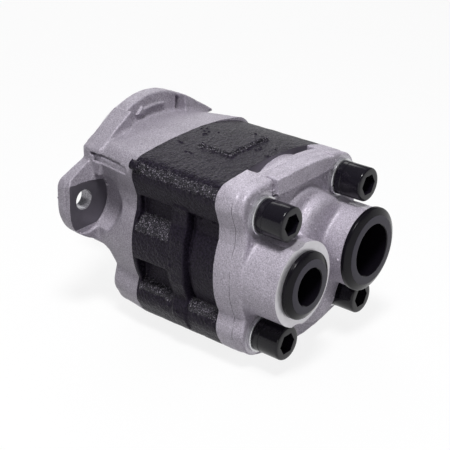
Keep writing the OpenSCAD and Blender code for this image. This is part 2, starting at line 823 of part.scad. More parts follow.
// Rings under the screw heads
module washers(y_front, y_rear, r) {
    for (p = screw_places) difference() {
        bar(r, y_front, y_rear, p[0], p[1]);
        bar(screw_d / 2 + washer_gap, y_front + eps, y_rear - eps, p[0], p[1]);
    }
}

module spring_washers() color("#1a1a1c") {
    difference() {
        washers(washer_top, head_seat, spring_washer_d / 2);
        // Slanted split in each ring
        for (p = screw_places) translate([p[0], (washer_top + head_seat) / 2, p[1]])
            rotate([0, split_turn, 0]) translate([spring_washer_d / 2 - 1, 0, 0])
                rotate([-split_slant, 0, 0])
                    cube([spring_washer_d / 3, 2 * spring_washer_t, split_w], center = true);
    }
}

module plain_washers() color("#d8d8dc") washers(seat_y, washer_top, plain_washer_d / 2);

// Push-in plug: a hollow shank, a rim on the port face and a bevelled nose
module transit_plug(x, bore_r, rim_r, hollow_r) {
    rim_rear = port_face - plug_rim_t;
    nose_r = (hollow_r + rim_r) / 2;
    difference() {
        union() {
            bar(bore_r - plug_clearance, port_face + plug_shank, port_face, x, mid_z);
            bar(rim_r, port_face, rim_rear, x, mid_z);
            cone(rim_r - rim_step, nose_r, rim_rear + eps, rim_rear - plug_nose_h, x, mid_z);
        }
        bar(hollow_r, port_face + plug_shank - plug_end_t, rim_rear - plug_nose_h - eps, x, mid_z);
    }
}

module suction_plug() color("#1e1e22")
    transit_plug(port_x, suction_bore_d / 2, suction_plug_d / 2, suction_hollow_d / 2);
module pressure_plug() color("#1e1e22")
    transit_plug(-port_x, pressure_bore_d / 2, pressure_plug_d / 2, pressure_hollow_d / 2);

front_cover();
gear_housing();
rear_cover();
drive_gear_shaft();
driven_gear_shaft();
shaft_key();
front_bearing_block();
rear_bearing_block();
front_drive_bush();
front_driven_bush();
rear_drive_bush();
rear_driven_bush();
shaft_seal();
seal_spring();
seal_retaining_ring();
front_cover_seal();
rear_cover_seal();
front_balance_seal();
rear_balance_seal();
front_backup_strip();
rear_backup_strip();
front_dowels();
rear_dowels();
cap_screws();
spring_washers();
plain_washers();
suction_plug();
pressure_plug();
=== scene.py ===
"""Looks of the gear pump.

The three castings are shaped as distance fields in millimetres, turned into meshes and then
machined with clean cutters, the way the real ones are cast and machined. Screws, washers and
plugs are turned from profiles. The frame is the CAD part's: ports face -Y, the shaft +Y, Z is up.
"""

import math

import bmesh
import bpy
import numpy as np
from mathutils import Matrix, Vector


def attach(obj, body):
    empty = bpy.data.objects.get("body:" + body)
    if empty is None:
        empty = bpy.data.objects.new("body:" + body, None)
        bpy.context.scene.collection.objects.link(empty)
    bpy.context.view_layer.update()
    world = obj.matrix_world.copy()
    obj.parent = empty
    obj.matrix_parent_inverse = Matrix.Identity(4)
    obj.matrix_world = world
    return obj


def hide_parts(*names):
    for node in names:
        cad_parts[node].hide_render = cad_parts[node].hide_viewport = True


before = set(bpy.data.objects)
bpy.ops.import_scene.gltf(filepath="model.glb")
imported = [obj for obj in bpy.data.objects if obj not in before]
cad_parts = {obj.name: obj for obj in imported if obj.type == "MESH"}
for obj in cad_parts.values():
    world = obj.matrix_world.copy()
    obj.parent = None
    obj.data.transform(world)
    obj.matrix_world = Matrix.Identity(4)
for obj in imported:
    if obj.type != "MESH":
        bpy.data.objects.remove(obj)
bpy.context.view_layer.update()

MM = 0.001

# ---------------------------------------------------------------- sizes in mm, as in the source
# Planes across Y: mounting face at 0, the two seams, the rear cover's face and the ports' faces
FRONT_SEAM, REAR_SEAM, REAR_FACE, PORT_FACE = -39.0, -94.0, -110.5, -131.8
MID_Z = -17.5  # halfway between the gears, which is the casing's middle
GEAR_CENTRES = 35.0
SCREW = 32.5  # from the casing's middle to a screw, in X and in Z
SCREW_PLACES = [(sx * SCREW, MID_Z + sz * SCREW) for sx in (-1, 1) for sz in (-1, 1)]

# Casing outline
CASING_W, WAIST_W, WAIST_Z, CROWN = 100.6, 90.8, 20.5, 50.5
BOSS_R, FRONT_BOSS_R = 13.0, 14.9
CORNER_REACH, CORNER_R, CORNER_FALL = 49.3, 9.3, 2.7
SHOULDER_OUT, SHOULDER_DOWN, SHOULDER_FALL = 4.0, 3.0, 2.0

# Flange, pilot and ears
FLANGE_R, FLANGE_T = 45.2, 7.6
PAD_T = 12.0
PILOT_R, PILOT_H = 41.275, 6.35
FOOT_FRONT, BLOCK_BOTTOM = -19.0, -27.5
BOLT_X, BOLT_HOLE_R = 53.2, 5.55
EAR_X, EAR_CLEAR_R, EAR_CLEAR_Z = 64.4, 17.3, -1
EAR_STEP, EAR_STEP_Y = 0.9, -4.6
# Edges of the ears: a |x| + b z = c
EAR_TOP = (0.377, 0.926, 35.19)
EAR_CORNER = (0.814, -0.581, 57.53)
EAR_BOTTOM = (0.412, -0.911, 41.46)

# Bores
SEAL_SEAT_R, RING_GROOVE_R, TUNNEL_R = 16, 16.9, 10.5
GEAR_BORE_R = 20.9
CHANNEL_R, CHANNEL_X = 6.3, 15.8
SCREW_HOLE_R = 6.75

# Housing: pockets are (top, foot of the shelf, slope of the shelf)
POCKETS = ((9.9, -1.8, 0.9), (-24.5, -39.4, 0.6))
POCKET_Y, POCKET_HALF, POCKET_FLOOR_X, SHELF_X = -52, 10.7, 42.2, 43.6
RECESS_Y, RECESS_DEPTH = -74.2, 2.2
SLOT_REAR_Y, SLOT_DEPTH = -76.6, 4.6
TOP_PAD_X, TOP_PAD_Y, TOP_PAD_HALF_X, TOP_PAD_HALF_Y = -2.5, -67, 15, 10

# Rear cover
PARTING_Y = -104.3
COVER_Y = -100  # inside the cover, where what stands on it starts
DOME_R, CRESCENT_X = 31.3, 24.6
BEARING_R, BEARING_FACE = 19, -113
BAR_LEFT, BAR_RIGHT, BAR_FOOT, BAR_FACE = -24.5, 22.4, 22.9, -113.2
CHAMBER_X, CHAMBER_R, CHAMBER_FACE = 8, 19.5, -119
CHAMBER_TOP, CHAMBER_LOW = -6.5, -38.7
PORT_X = 27.0
PRESSURE = {"boss": 22.2, "bore": 12.1, "rim": 17.6, "hollow": 9.7}
SUCTION = {"boss": 21.5, "bore": 15.2, "rim": 22.5, "hollow": 14.0}

# Screws and washers
SEAT_R, SEAT_Y = 12.0, -110.0
WASHER_TOP, HEAD_SEAT, HEAD_TOP = -112.0, -115.8, -127.8
THREAD_R, THREAD_END, HEAD_R = 6, -23.5, 9
SOCKET_R, SOCKET_DEPTH = 5.77, 6
WASHER_HOLE_R, PLAIN_WASHER_R, SPRING_WASHER_R = 6.2, 10, 9.05

FAR = (-90, 90)  # past the casing on both sides


# ---------------------------------------------------------------- outlines in X and Z
def arc(x, z, r, start, end, steps=12):
    """Points of an arc without its last one; angles run clockwise from the top, in degrees."""
    turns = np.radians(np.linspace(start, end, steps, endpoint=False))
    return [(x + r * math.sin(a), z + r * math.cos(a)) for a in turns]


def crown_arc(x, z, r):
    """Radius and half angle of the crown that runs tangent from the top into a corner."""
    radius = (x * x + (CROWN - z) ** 2 - r * r) / (2 * (CROWN - z - r))
    return radius, math.degrees(math.atan2(x, radius - (CROWN - z)))


def casing_outline(top_boss_r=BOSS_R):
    """Outline that the three castings share, about the shaft axis."""
    corner_x, corner_z = CORNER_REACH - CORNER_R, CROWN - CORNER_FALL - CORNER_R
    left_r, left_turn = crown_arc(corner_x, corner_z, CORNER_R)
    right_r, right_turn = crown_arc(SCREW, SCREW, top_boss_r)
    low_r, low_turn = crown_arc(SCREW, SCREW, BOSS_R)
    lobe_r = (WAIST_Z**2 + ((CASING_W - WAIST_W) / 2) ** 2) / (CASING_W - WAIST_W)
    lobe = math.degrees(math.asin(WAIST_Z / lobe_r))
    sx, sz = SCREW + SHOULDER_OUT, SCREW - SHOULDER_DOWN
    turn = math.degrees(
        math.atan2(SHOULDER_OUT, -SHOULDER_DOWN)
        - math.acos(SHOULDER_FALL / math.hypot(SHOULDER_OUT, SHOULDER_DOWN))
    )
    points = (
        arc(0, CROWN - left_r, left_r, -left_turn, 0)
        + arc(0, CROWN - right_r, right_r, 0, right_turn)
        + arc(SCREW, SCREW, top_boss_r, right_turn, turn)
        + arc(sx, sz, top_boss_r - SHOULDER_FALL, turn, 110)
        + arc(CASING_W / 2 - lobe_r, 0, lobe_r, 90 - lobe, 90 + lobe, 24)
        + arc(sx, -sz, BOSS_R - SHOULDER_FALL, 70, 180 - turn)
        + arc(SCREW, -SCREW, BOSS_R, 180 - turn, 180 - low_turn)
        + arc(0, low_r - CROWN, low_r, 180 - low_turn, 180 + low_turn, 24)
        + arc(-SCREW, -SCREW, BOSS_R, 180 + low_turn, 180 + turn)
        + arc(-sx, -sz, BOSS_R - SHOULDER_FALL, 180 + turn, 290)
        + arc(lobe_r - CASING_W / 2, 0, lobe_r, 270 - lobe, 270 + lobe, 24)
        + [(-WAIST_W / 2 - 0.3, WAIST_Z + 6)]
        + arc(-corner_x, corner_z, CORNER_R, 248, 360 - left_turn)
    )
    return np.array(points) + (0, MID_Z)


# ---------------------------------------------------------------- distance fields
class Space:
    """A grid of points in millimetres on which distance fields are sampled."""

    def __init__(self, low, high, step):
        self.low, self.step = np.array(low, float), step
        counts = [int(round((b - a) / step)) + 1 for a, b in zip(low, high)]
        axes = [a + step * np.arange(n) for a, n in zip(low, counts)]
        self.x = axes[0][:, None, None].astype(np.float32)
        self.y = axes[1][None, :, None].astype(np.float32)
        self.z = axes[2][None, None, :].astype(np.float32)
        self.shape = tuple(counts)
        self.random = np.random.default_rng(7)

    def section(self, points):
        """Signed distance to a closed outline in X and Z, negative inside."""
        px, pz = self.x[:, 0, 0][:, None], self.z[0, 0, :][None, :]
        near = np.full((px.size, pz.size), 1e9, np.float32)
        inside = np.zeros(near.shape, bool)
        for (ax, az), (bx, bz) in zip(points, np.roll(points, -1, axis=0)):
            ex, ez = bx - ax, bz - az
            t = np.clip(((px - ax) * ex + (pz - az) * ez) / (ex * ex + ez * ez), 0, 1)
            near = np.minimum(near, (px - ax - t * ex) ** 2 + (pz - az - t * ez) ** 2)
            crosses = (az > pz) != (bz > pz)
            if ez:
                inside ^= crosses & (px < ax + (pz - az) * ex / ez)
        near = np.sqrt(near)
        return np.where(inside, -near, near)[:, None, :].astype(np.float32)

    def round_bar(self, x, z, r):
        """Distance to a round bar along Y."""
        return np.hypot(self.x - x, self.z - z) - r

    def slab(self, flat, y_front, y_rear, edge=1.0):
        """A section between two planes across Y, with rounded edges."""
        return both(flat, np.maximum(self.y - y_front, y_rear - self.y), edge)

    def block(self, x, y, z, edge=1.0):
        """A box between pairs of limits."""
        reach = [
            np.abs(axis - (a + b) / 2) - abs(b - a) / 2
            for axis, (a, b) in ((self.x, x), (self.y, y), (self.z, z))
        ]
        return both(both(reach[0], reach[2], edge), reach[1], edge)

    def noise(self, size):
        """Seeded smooth noise of about unit height whose bumps are size millimetres wide."""
        field = self.random.standard_normal(self.shape).astype(np.float32)
        spectrum = np.fft.rfftn(field)
        waves = np.meshgrid(
            np.fft.fftfreq(self.shape[0], self.step),
            np.fft.fftfreq(self.shape[1], self.step),
            np.fft.rfftfreq(self.shape[2], self.step),
            indexing="ij",
            sparse=True,
        )
        square = sum(w * w for w in waves)
        spectrum *= np.exp(-square * size * size * 2)
        field = np.fft.irfftn(spectrum, self.shape)
        return (field / field.std()).astype(np.float32)


def either(a, b, fillet=0.0):
    """Union of two fields, with a fillet between them."""
    low = np.minimum(a, b)
    if fillet:
        gap = np.maximum(fillet - np.abs(a - b), 0) / fillet
        low = low - gap * gap * fillet / 4
    return low


def both(a, b, edge=0.0):
    """What two fields share, with its edge rounded."""
    return -either(-a, -b, edge)


def without(a, b, edge=0.0):
    """Field a with b cut out of it."""
    return both(a, -b, edge)


def unclear_cells():
    """For each pattern of a cell's inside corners, whether more than one sheet would cross it."""
    near = [[c ^ 1, c ^ 2, c ^ 4] for c in range(8)]

    def split(corners):
        seen, queue = set(), list(corners)[:1]
        while queue:
            c = queue.pop()
            seen.add(c)
            queue += [m for m in near[c] if m in corners and m not in seen]
        return len(seen) < len(corners)

    patterns = [{c for c in range(8) if code >> c & 1} for code in range(256)]
    return np.array([split(p) or split(set(range(8)) - p) for p in patterns])


def closed(field, step):
    """The field shut at the grid's border and filled where its surface would touch itself."""
    field = np.array(field)
    for axis in range(3):
        for end in (0, -1):
            face = [slice(None)] * 3
            face[axis] = end
            field[tuple(face)] = step
    unclear = unclear_cells()
    n = np.array(field.shape)
    corners = [(c & 1, c >> 1 & 1, c >> 2 & 1) for c in range(8)]
    for _ in range(12):
        inside = field < 0
        code = np.zeros(n - 1, np.uint8)
        for bit, (i, j, k) in enumerate(corners):
            part = inside[i : n[0] - 1 + i, j : n[1] - 1 + j, k : n[2] - 1 + k]
            code |= part.astype(np.uint8) << bit
        cells = np.argwhere(unclear[code])
        if not len(cells):
            break
        for corner in corners:
            spot = tuple((cells + corner).T)
            field[spot] = np.minimum(field[spot], -0.05 * step)
    return field


def surface(space, field):
    """Vertices and quads of the zero level of a field."""
    field = closed(field, space.step)
    inside = field < 0
    n = np.array(field.shape)
    count = np.zeros(n - 1, np.int8)
    for i in (0, 1):
        for j in (0, 1):
            for k in (0, 1):
                count += inside[i : n[0] - 1 + i, j : n[1] - 1 + j, k : n[2] - 1 + k]
    active = (count > 0) & (count < 8)
    number = np.full(active.shape, -1, np.int64)
    number[active] = np.arange(active.sum())
    cells = np.argwhere(active)
    total, hits = np.zeros((len(cells), 3)), np.zeros(len(cells))
    for axis in range(3):
        u, v = [a for a in range(3) if a != axis]
        for du in (0, 1):
            for dv in (0, 1):
                start = np.zeros(3, int)
                start[u], start[v] = du, dv
                end = start.copy()
                end[axis] = 1
                a = field[tuple((cells + start).T)]
                b = field[tuple((cells + end).T)]
                crosses = (a < 0) != (b < 0)
                t = a[crosses] / (a[crosses] - b[crosses])
                total[crosses] += start + t[:, None] * (end - start)
                hits[crosses] += 1
    points = cells + total / hits[:, None]
    quads = []
    for axis in range(3):
        u, v = (axis + 1) % 3, (axis + 2) % 3
        lower = [slice(None)] * 3
        upper = [slice(None)] * 3
        lower[axis], upper[axis] = slice(0, n[axis] - 1), slice(1, n[axis])
        a, b = inside[tuple(lower)], inside[tuple(upper)]
        edges = np.argwhere(a != b)
        edges = edges[(edges[:, u] > 0) & (edges[:, v] > 0)]
        edges = edges[(edges[:, u] < n[u] - 1) & (edges[:, v] < n[v] - 1)]
        ring = []
        for du, dv in ((-1, -1), (0, -1), (0, 0), (-1, 0)):
            cell = edges.copy()
            cell[:, u] += du
            cell[:, v] += dv
            ring.append(number[tuple(cell.T)])
        ring = np.stack(ring, axis=1)
        outward = a[tuple(edges.T)]
        ring[~outward] = ring[~outward][:, ::-1]
        quads.append(ring)
    quads = np.concatenate(quads)

    # Each point moves a little towards its neighbours, which takes off the grid's own steps
    near, count = np.zeros_like(points), np.zeros(len(points))
    for a, b in ((0, 1), (1, 2), (2, 3), (3, 0)):
        np.add.at(near, quads[:, a], points[quads[:, b]])
        np.add.at(count, quads[:, a], 1)
    points = points * 0.6 + near / count[:, None] * 0.4
    return space.low + space.step * points, quads


# ---------------------------------------------------------------- meshes
def new_object(name, mesh):
    """An object of a mesh, linked to the scene."""
    obj = bpy.data.objects.new(name, mesh)
    bpy.context.scene.collection.objects.link(obj)
    return obj


def mesh_from(name, points, faces):
    """An object from points in millimetres."""
    mesh = bpy.data.meshes.new(name)
    mesh.from_pydata((np.asarray(points) * MM).tolist(), [], [list(f) for f in faces])
    mesh.update()
    return new_object(name, mesh)


def cast(name, space, field):
    """An object with the shape of a field."""
    points, quads = surface(space, field)
    return mesh_from(name, points, quads)


def turned(name, profile, x=0.0, z=0.0, steps=128):
    """A closed solid turned about a line along Y; the profile is (radius, y) from front to rear."""
    points, faces, rings = [], [], []
    for r, y in profile:
        if r < 1e-6:
            rings.append([len(points)])
            points.append((x, y, z))
            continue
        rings.append(list(range(len(points), len(points) + steps)))
        for i in range(steps):
            a = 2 * math.pi * i / steps
            points.append((x + r * math.sin(a), y, z + r * math.cos(a)))
    closed = profile[0][0] > 1e-6 and profile[-1][0] > 1e-6
    pairs = list(zip(rings, rings[1:])) + ([(rings[-1], rings[0])] if closed else [])
    for a, b in pairs:
        for i in range(steps):
            j = (i + 1) % steps
            corner = [a[i % len(a)], a[j % len(a)], b[j % len(b)], b[i % len(b)]]
            faces.append(list(dict.fromkeys(corner)))
    obj = mesh_from(name, points, faces)
    outward(obj)
    return obj


def outward(obj):
    """Turns all faces outward."""
    bm = bmesh.new()
    bm.from_mesh(obj.data)
    bmesh.ops.recalc_face_normals(bm, faces=bm.faces)
    bm.to_mesh(obj.data)
    bm.free()


def rod(name, r, y_front, y_rear, x=0.0, z=0.0, steps=128):
    """A round bar along Y."""
    return turned(name, [(0, y_front), (r, y_front), (r, y_rear), (0, y_rear)], x, z, steps)


def box(name, x, y, z):
    """A box between pairs of limits."""
    points = [(a, b, c) for a in x for b in y for c in z]
    faces = [(0, 1, 3, 2), (4, 6, 7, 5), (0, 4, 5, 1), (2, 3, 7, 6), (0, 2, 6, 4), (1, 5, 7, 3)]
    obj = mesh_from(name, points, faces)
    outward(obj)
    return obj


def prism(name, outline, y_front, y_rear):
    """A solid with an outline in X and Z between two planes across Y."""
    n = len(outline)
    points = [(x, y, z) for y in (y_front, y_rear) for x, z in outline]
    faces = [tuple(range(n)), tuple(range(2 * n - 1, n - 1, -1))]
    faces += [(i, (i + 1) % n, n + (i + 1) % n, n + i) for i in range(n)]
    obj = mesh_from(name, points, faces)
    outward(obj)
    return obj


def combine(obj, tool, how="DIFFERENCE", finish=None):
    """Cuts tool out of obj, or joins it on; new faces take the tool's finish."""
    if finish:
        tool.data.materials.append(finish)
    change = obj.modifiers.new(how, "BOOLEAN")
    change.operation, change.solver, change.object = how, "MANIFOLD", tool
    change.material_mode = "TRANSFER"
    bpy.context.view_layer.update()
    shape = obj.evaluated_get(bpy.context.evaluated_depsgraph_get())
    mesh = bpy.data.meshes.new_from_object(shape)
    if len(mesh.vertices) == len(obj.data.vertices):
        raise RuntimeError(f"{tool.name} changed nothing on {obj.name}")
    obj.modifiers.clear()
    obj.data = mesh
    bpy.data.objects.remove(tool)


def shade(obj, angle=44):
    """Smooth shading, with edges sharper than the angle kept."""
    mesh = obj.data
    mesh.polygons.foreach_set("use_smooth", [True] * len(mesh.polygons))
    mesh.set_sharp_from_angle(angle=math.radians(angle))
    mesh.update()


# ---------------------------------------------------------------- materials
class Shader:
    """Short forms for building a Principled material."""

    def __init__(self, name, **values):
        self.material = bpy.data.materials.new(name)
        self.material.use_nodes = True
        self.tree = self.material.node_tree
        self.surface = self.tree.nodes["Principled BSDF"]
        for socket, value in values.items():
            self.surface.inputs[socket.replace("_", " ")].default_value = value
        self.place = self.tree.nodes.new("ShaderNodeTexCoord").outputs["Object"]

    def node(self, kind, **settings):
        made = self.tree.nodes.new("ShaderNode" + kind)
        for key, value in settings.items():
            setattr(made, key, value)
        return made

    def link(self, source, target):
        self.tree.links.new(source, target)

    def noise(self, scale, detail=3.0, rough=0.5):
        made = self.node("TexNoise")
        self.link(self.place, made.inputs["Vector"])
        made.inputs["Scale"].default_value = scale
        made.inputs["Detail"].default_value = detail
        made.inputs["Roughness"].default_value = rough
        return made.outputs["Fac"]

    def ramp(self, source, stops):
        made = self.node("ValToRGB")
        self.link(source, made.inputs["Fac"])
        while len(made.color_ramp.elements) < len(stops):
            made.color_ramp.elements.new(0.5)
        for element, (place, colour) in zip(made.color_ramp.elements, stops):
            element.position = place
            element.color = (*colour, 1) if len(colour) == 3 else (colour[0],) * 3 + (1,)
        return made.outputs["Color"]

    def multiply(self, first, second):
        made = self.node("Mix", data_type="RGBA", blend_type="MULTIPLY")
        made.inputs["Factor"].default_value = 1
        self.link(first, made.inputs[6])
        self.link(second, made.inputs[7])
        return made.outputs[2]

    def bump(self, source, depth, strength=1.0, below=None):
        made = self.node("Bump")
        self.link(source, made.inputs["Height"])
        made.inputs["Distance"].default_value = depth * MM
        made.inputs["Strength"].default_value = strength
        if below:
            self.link(below, made.inputs["Normal"])
        return made.outputs["Normal"]

    def calculate(self, operation, *values):
        """A Math node; each value is a number or another node's output."""
        made = self.node("Math", operation=operation)
        for socket, value in zip(made.inputs, values):
            if isinstance(value, (int, float)):
                socket.default_value = value
            else:
                self.link(value, socket)
        return made.outputs[0]

    def either(self, first, second):
        return self.calculate("MAXIMUM", first, second)

    def set(self, socket, source):
        self.link(source, self.surface.inputs[socket])


def cast_aluminium(name, tone, parting=None):
    """Cast skin; parting is the place along Y, in millimetres, of a thin line of painted shade at
    the mould's parting.

    The line shows on the left and right sides only, with gaps. Hollows are painted darker as shade,
    and edges lighter as a painted highlight.
    """
    s = Shader(name, Metallic=0.2)
    patches = s.ramp(s.noise(70, 3), [(0.35, (0.88,)), (0.65, (1.0,))])
    grain = s.noise(1500, 2, 0.7)
    stops = [(0.33, (0.42, 0.38, 0.455)), (0.5, (0.61, 0.56, 0.655)), (0.68, (0.85, 0.79, 0.90))]
    fine = s.ramp(grain, [(place, tuple(c * tone for c in colour)) for place, colour in stops])
    # Pointiness paints shade into hollows and creases, and a highlight onto convex edges
    painted_light_pointiness = s.node("NewGeometry").outputs["Pointiness"]
    edges = s.ramp(painted_light_pointiness, [(0.44, (0.45,)), (0.485, (0.86,)), (0.515, (0.86,)), (0.56, (1,))])
    fine = s.multiply(fine, edges)
    # Painted shade along the parting line's step: a thin dark wavy line on the sides, broken by
    # gaps
    if parting:
        split = s.node("SeparateXYZ")
        s.link(s.place, split.inputs[0])
        across = s.calculate("MULTIPLY", s.calculate("ABSOLUTE", split.outputs["X"]), 20)
        inner = s.ramp(across, [(0.86, (1,)), (0.9, (0,))])
        along = s.calculate("MULTIPLY_ADD", split.outputs["Y"], 500, 0.25 - parting * MM * 500)
        along = s.calculate("MULTIPLY_ADD", s.noise(110, 3), 0.5, along)
        line = s.ramp(along, [(0.41, (1,)), (0.46, (0.12,)), (0.54, (0.12,)), (0.59, (1,))])
        gaps = s.ramp(s.noise(45, 2), [(0.54, (0,)), (0.6, (1,))])
        fine = s.multiply(fine, s.either(s.either(line, gaps), inner))
    s.set("Base Color", s.multiply(fine, patches))
    s.set("Roughness", s.ramp(grain, [(0.3, (0.60,)), (0.7, (0.38,))]))
    rough = s.bump(grain, 0.22)
    s.set("Normal", s.bump(s.noise(420, 3), 0.25, below=rough))
    return s.material


def black_paint():
    """The housing's paint, with the sand's grain showing through it."""
    s = Shader("black_paint", Metallic=0.0, Specular_IOR_Level=0.13)
    s.surface.inputs["Specular Tint"].default_value = (0.95, 0.86, 1, 1)
    grain = s.noise(1000, 2, 0.6)
    stops = [(0.36, (0.005, 0.004, 0.007)), (0.66, (0.024, 0.019, 0.033))]
    s.set("Base Color", s.ramp(grain, stops))
    s.set("Roughness", s.ramp(grain, [(0.3, (0.5,)), (0.7, (0.3,))]))
    coarse = s.bump(s.noise(520, 2), 0.5)
    s.set("Normal", s.bump(grain, 0.35, below=coarse))
    return s.material


def coarse_paint():
    """The same paint where the sand was coarse; its brightest grains are painted glints."""
    s = Shader("black_paint_coarse_glints", Metallic=0.0, Specular_IOR_Level=0.35)
    grain = s.noise(1700, 2, 0.6)
    # The top stop paints bright specks into the colour: painted glints, beside the real ones from
    # specular and bump
    stops = [(0.5, (0.008, 0.007, 0.011)), (0.6, (0.05, 0.044, 0.06)), (0.68, (0.42, 0.38, 0.46))]
    s.set("Base Color", s.ramp(grain, stops))
    s.set("Roughness", s.ramp(grain, [(0.3, (0.5,)), (0.7, (0.25,))]))
    s.set("Normal", s.bump(grain, 0.4))
    return s.material


def machined(name, colour, roughness):
    """Bare metal off the cutter."""
    s = Shader(name, Metallic=0.5)
    fine = s.noise(900, 2)
    dark = tuple(c * 0.86 for c in colour)
    s.set("Base Color", s.ramp(s.noise(120, 3), [(0.3, dark), (0.7, colour)]))
    s.set("Roughness", s.ramp(fine, [(0.3, (roughness * 0.8,)), (0.7, (roughness * 1.2,))]))
    s.set("Normal", s.bump(fine, 0.03))
    return s.material


def plain(name, colour, roughness, metallic=1.0, grain=500, depth=0.02, specular=None):
    """An even material with a fine grain; depth is the grain's, in millimetres."""
    s = Shader(name, Metallic=metallic)
    noise = s.noise(grain, 3)
    dark = tuple(c * 0.85 for c in colour)
    s.set("Base Color", s.ramp(noise, [(0.3, dark), (0.7, colour)]))
    s.set("Roughness", s.ramp(noise, [(0.3, (roughness * 0.85,)), (0.7, (roughness * 1.15,))]))
    s.set("Normal", s.bump(noise, depth))
    if specular is not None:
        s.surface.inputs["Specular IOR Level"].default_value = specular
    return s.material


# The front cover's copy is darker by its tone, as painted shade
FRONT_ALUMINIUM_SHADED = cast_aluminium("cast_aluminium_front_shaded", 0.76)
REAR_ALUMINIUM = cast_aluminium("cast_aluminium_rear", 1.0, parting=PARTING_Y)
PAINT = black_paint()
PAINT_COARSE_GLINTS = coarse_paint()
BRIGHT = machined("machined_aluminium", (0.84, 0.82, 0.86), 0.35)
SEAT = machined("machined_seat", (0.62, 0.59, 0.65), 0.32)
# Bare dark iron on the housing's seams; on the front cover's spot faces, painted shade for the dark
# surroundings they mirror
DARK_IRON_AND_SHADE = machined("machined_dark_iron_and_shade", (0.15, 0.14, 0.165), 0.42)
# The bolt holes' walls are painted darker than the metal, as the shade inside the holes
SHADED_HOLE_WALL = machined("bolt_hole_wall_shaded", (0.34, 0.33, 0.36), 0.28)
BLACK_OXIDE = plain("black_oxide", (0.009, 0.0075, 0.0125), 0.17, 0.0, 900, 0.015, 0.3)
ZINC = plain("zinc_plate", (0.78, 0.78, 0.80), 0.3, 0.8, 700, 0.02)
PLUG_BLACK = plain("plug_black", (0.006, 0.005, 0.008), 0.2, 0.0, 1200, 0.02, 0.16)
# The plugs' flat ring: rougher than their black, and painted lighter as a reflection of the bright
# floor
PLUG_FACE_REFLECTION = plain("plug_face_reflection", (0.060, 0.055, 0.075), 0.45, 0.0, 1200, 0.03, 0.2)
STEEL = plain("ground_steel", (0.62, 0.62, 0.64), 0.22, 1.0, 800, 0.01)
BRONZE = plain("bearing_bronze", (0.50, 0.33, 0.14), 0.35, 1.0, 700, 0.02)
RUBBER = plain("seal_rubber", (0.02, 0.019, 0.018), 0.55, 0.0, 600, 0.03)
STRIP = plain("backup_strip", (0.78, 0.75, 0.68), 0.5, 0.0, 500, 0.02)


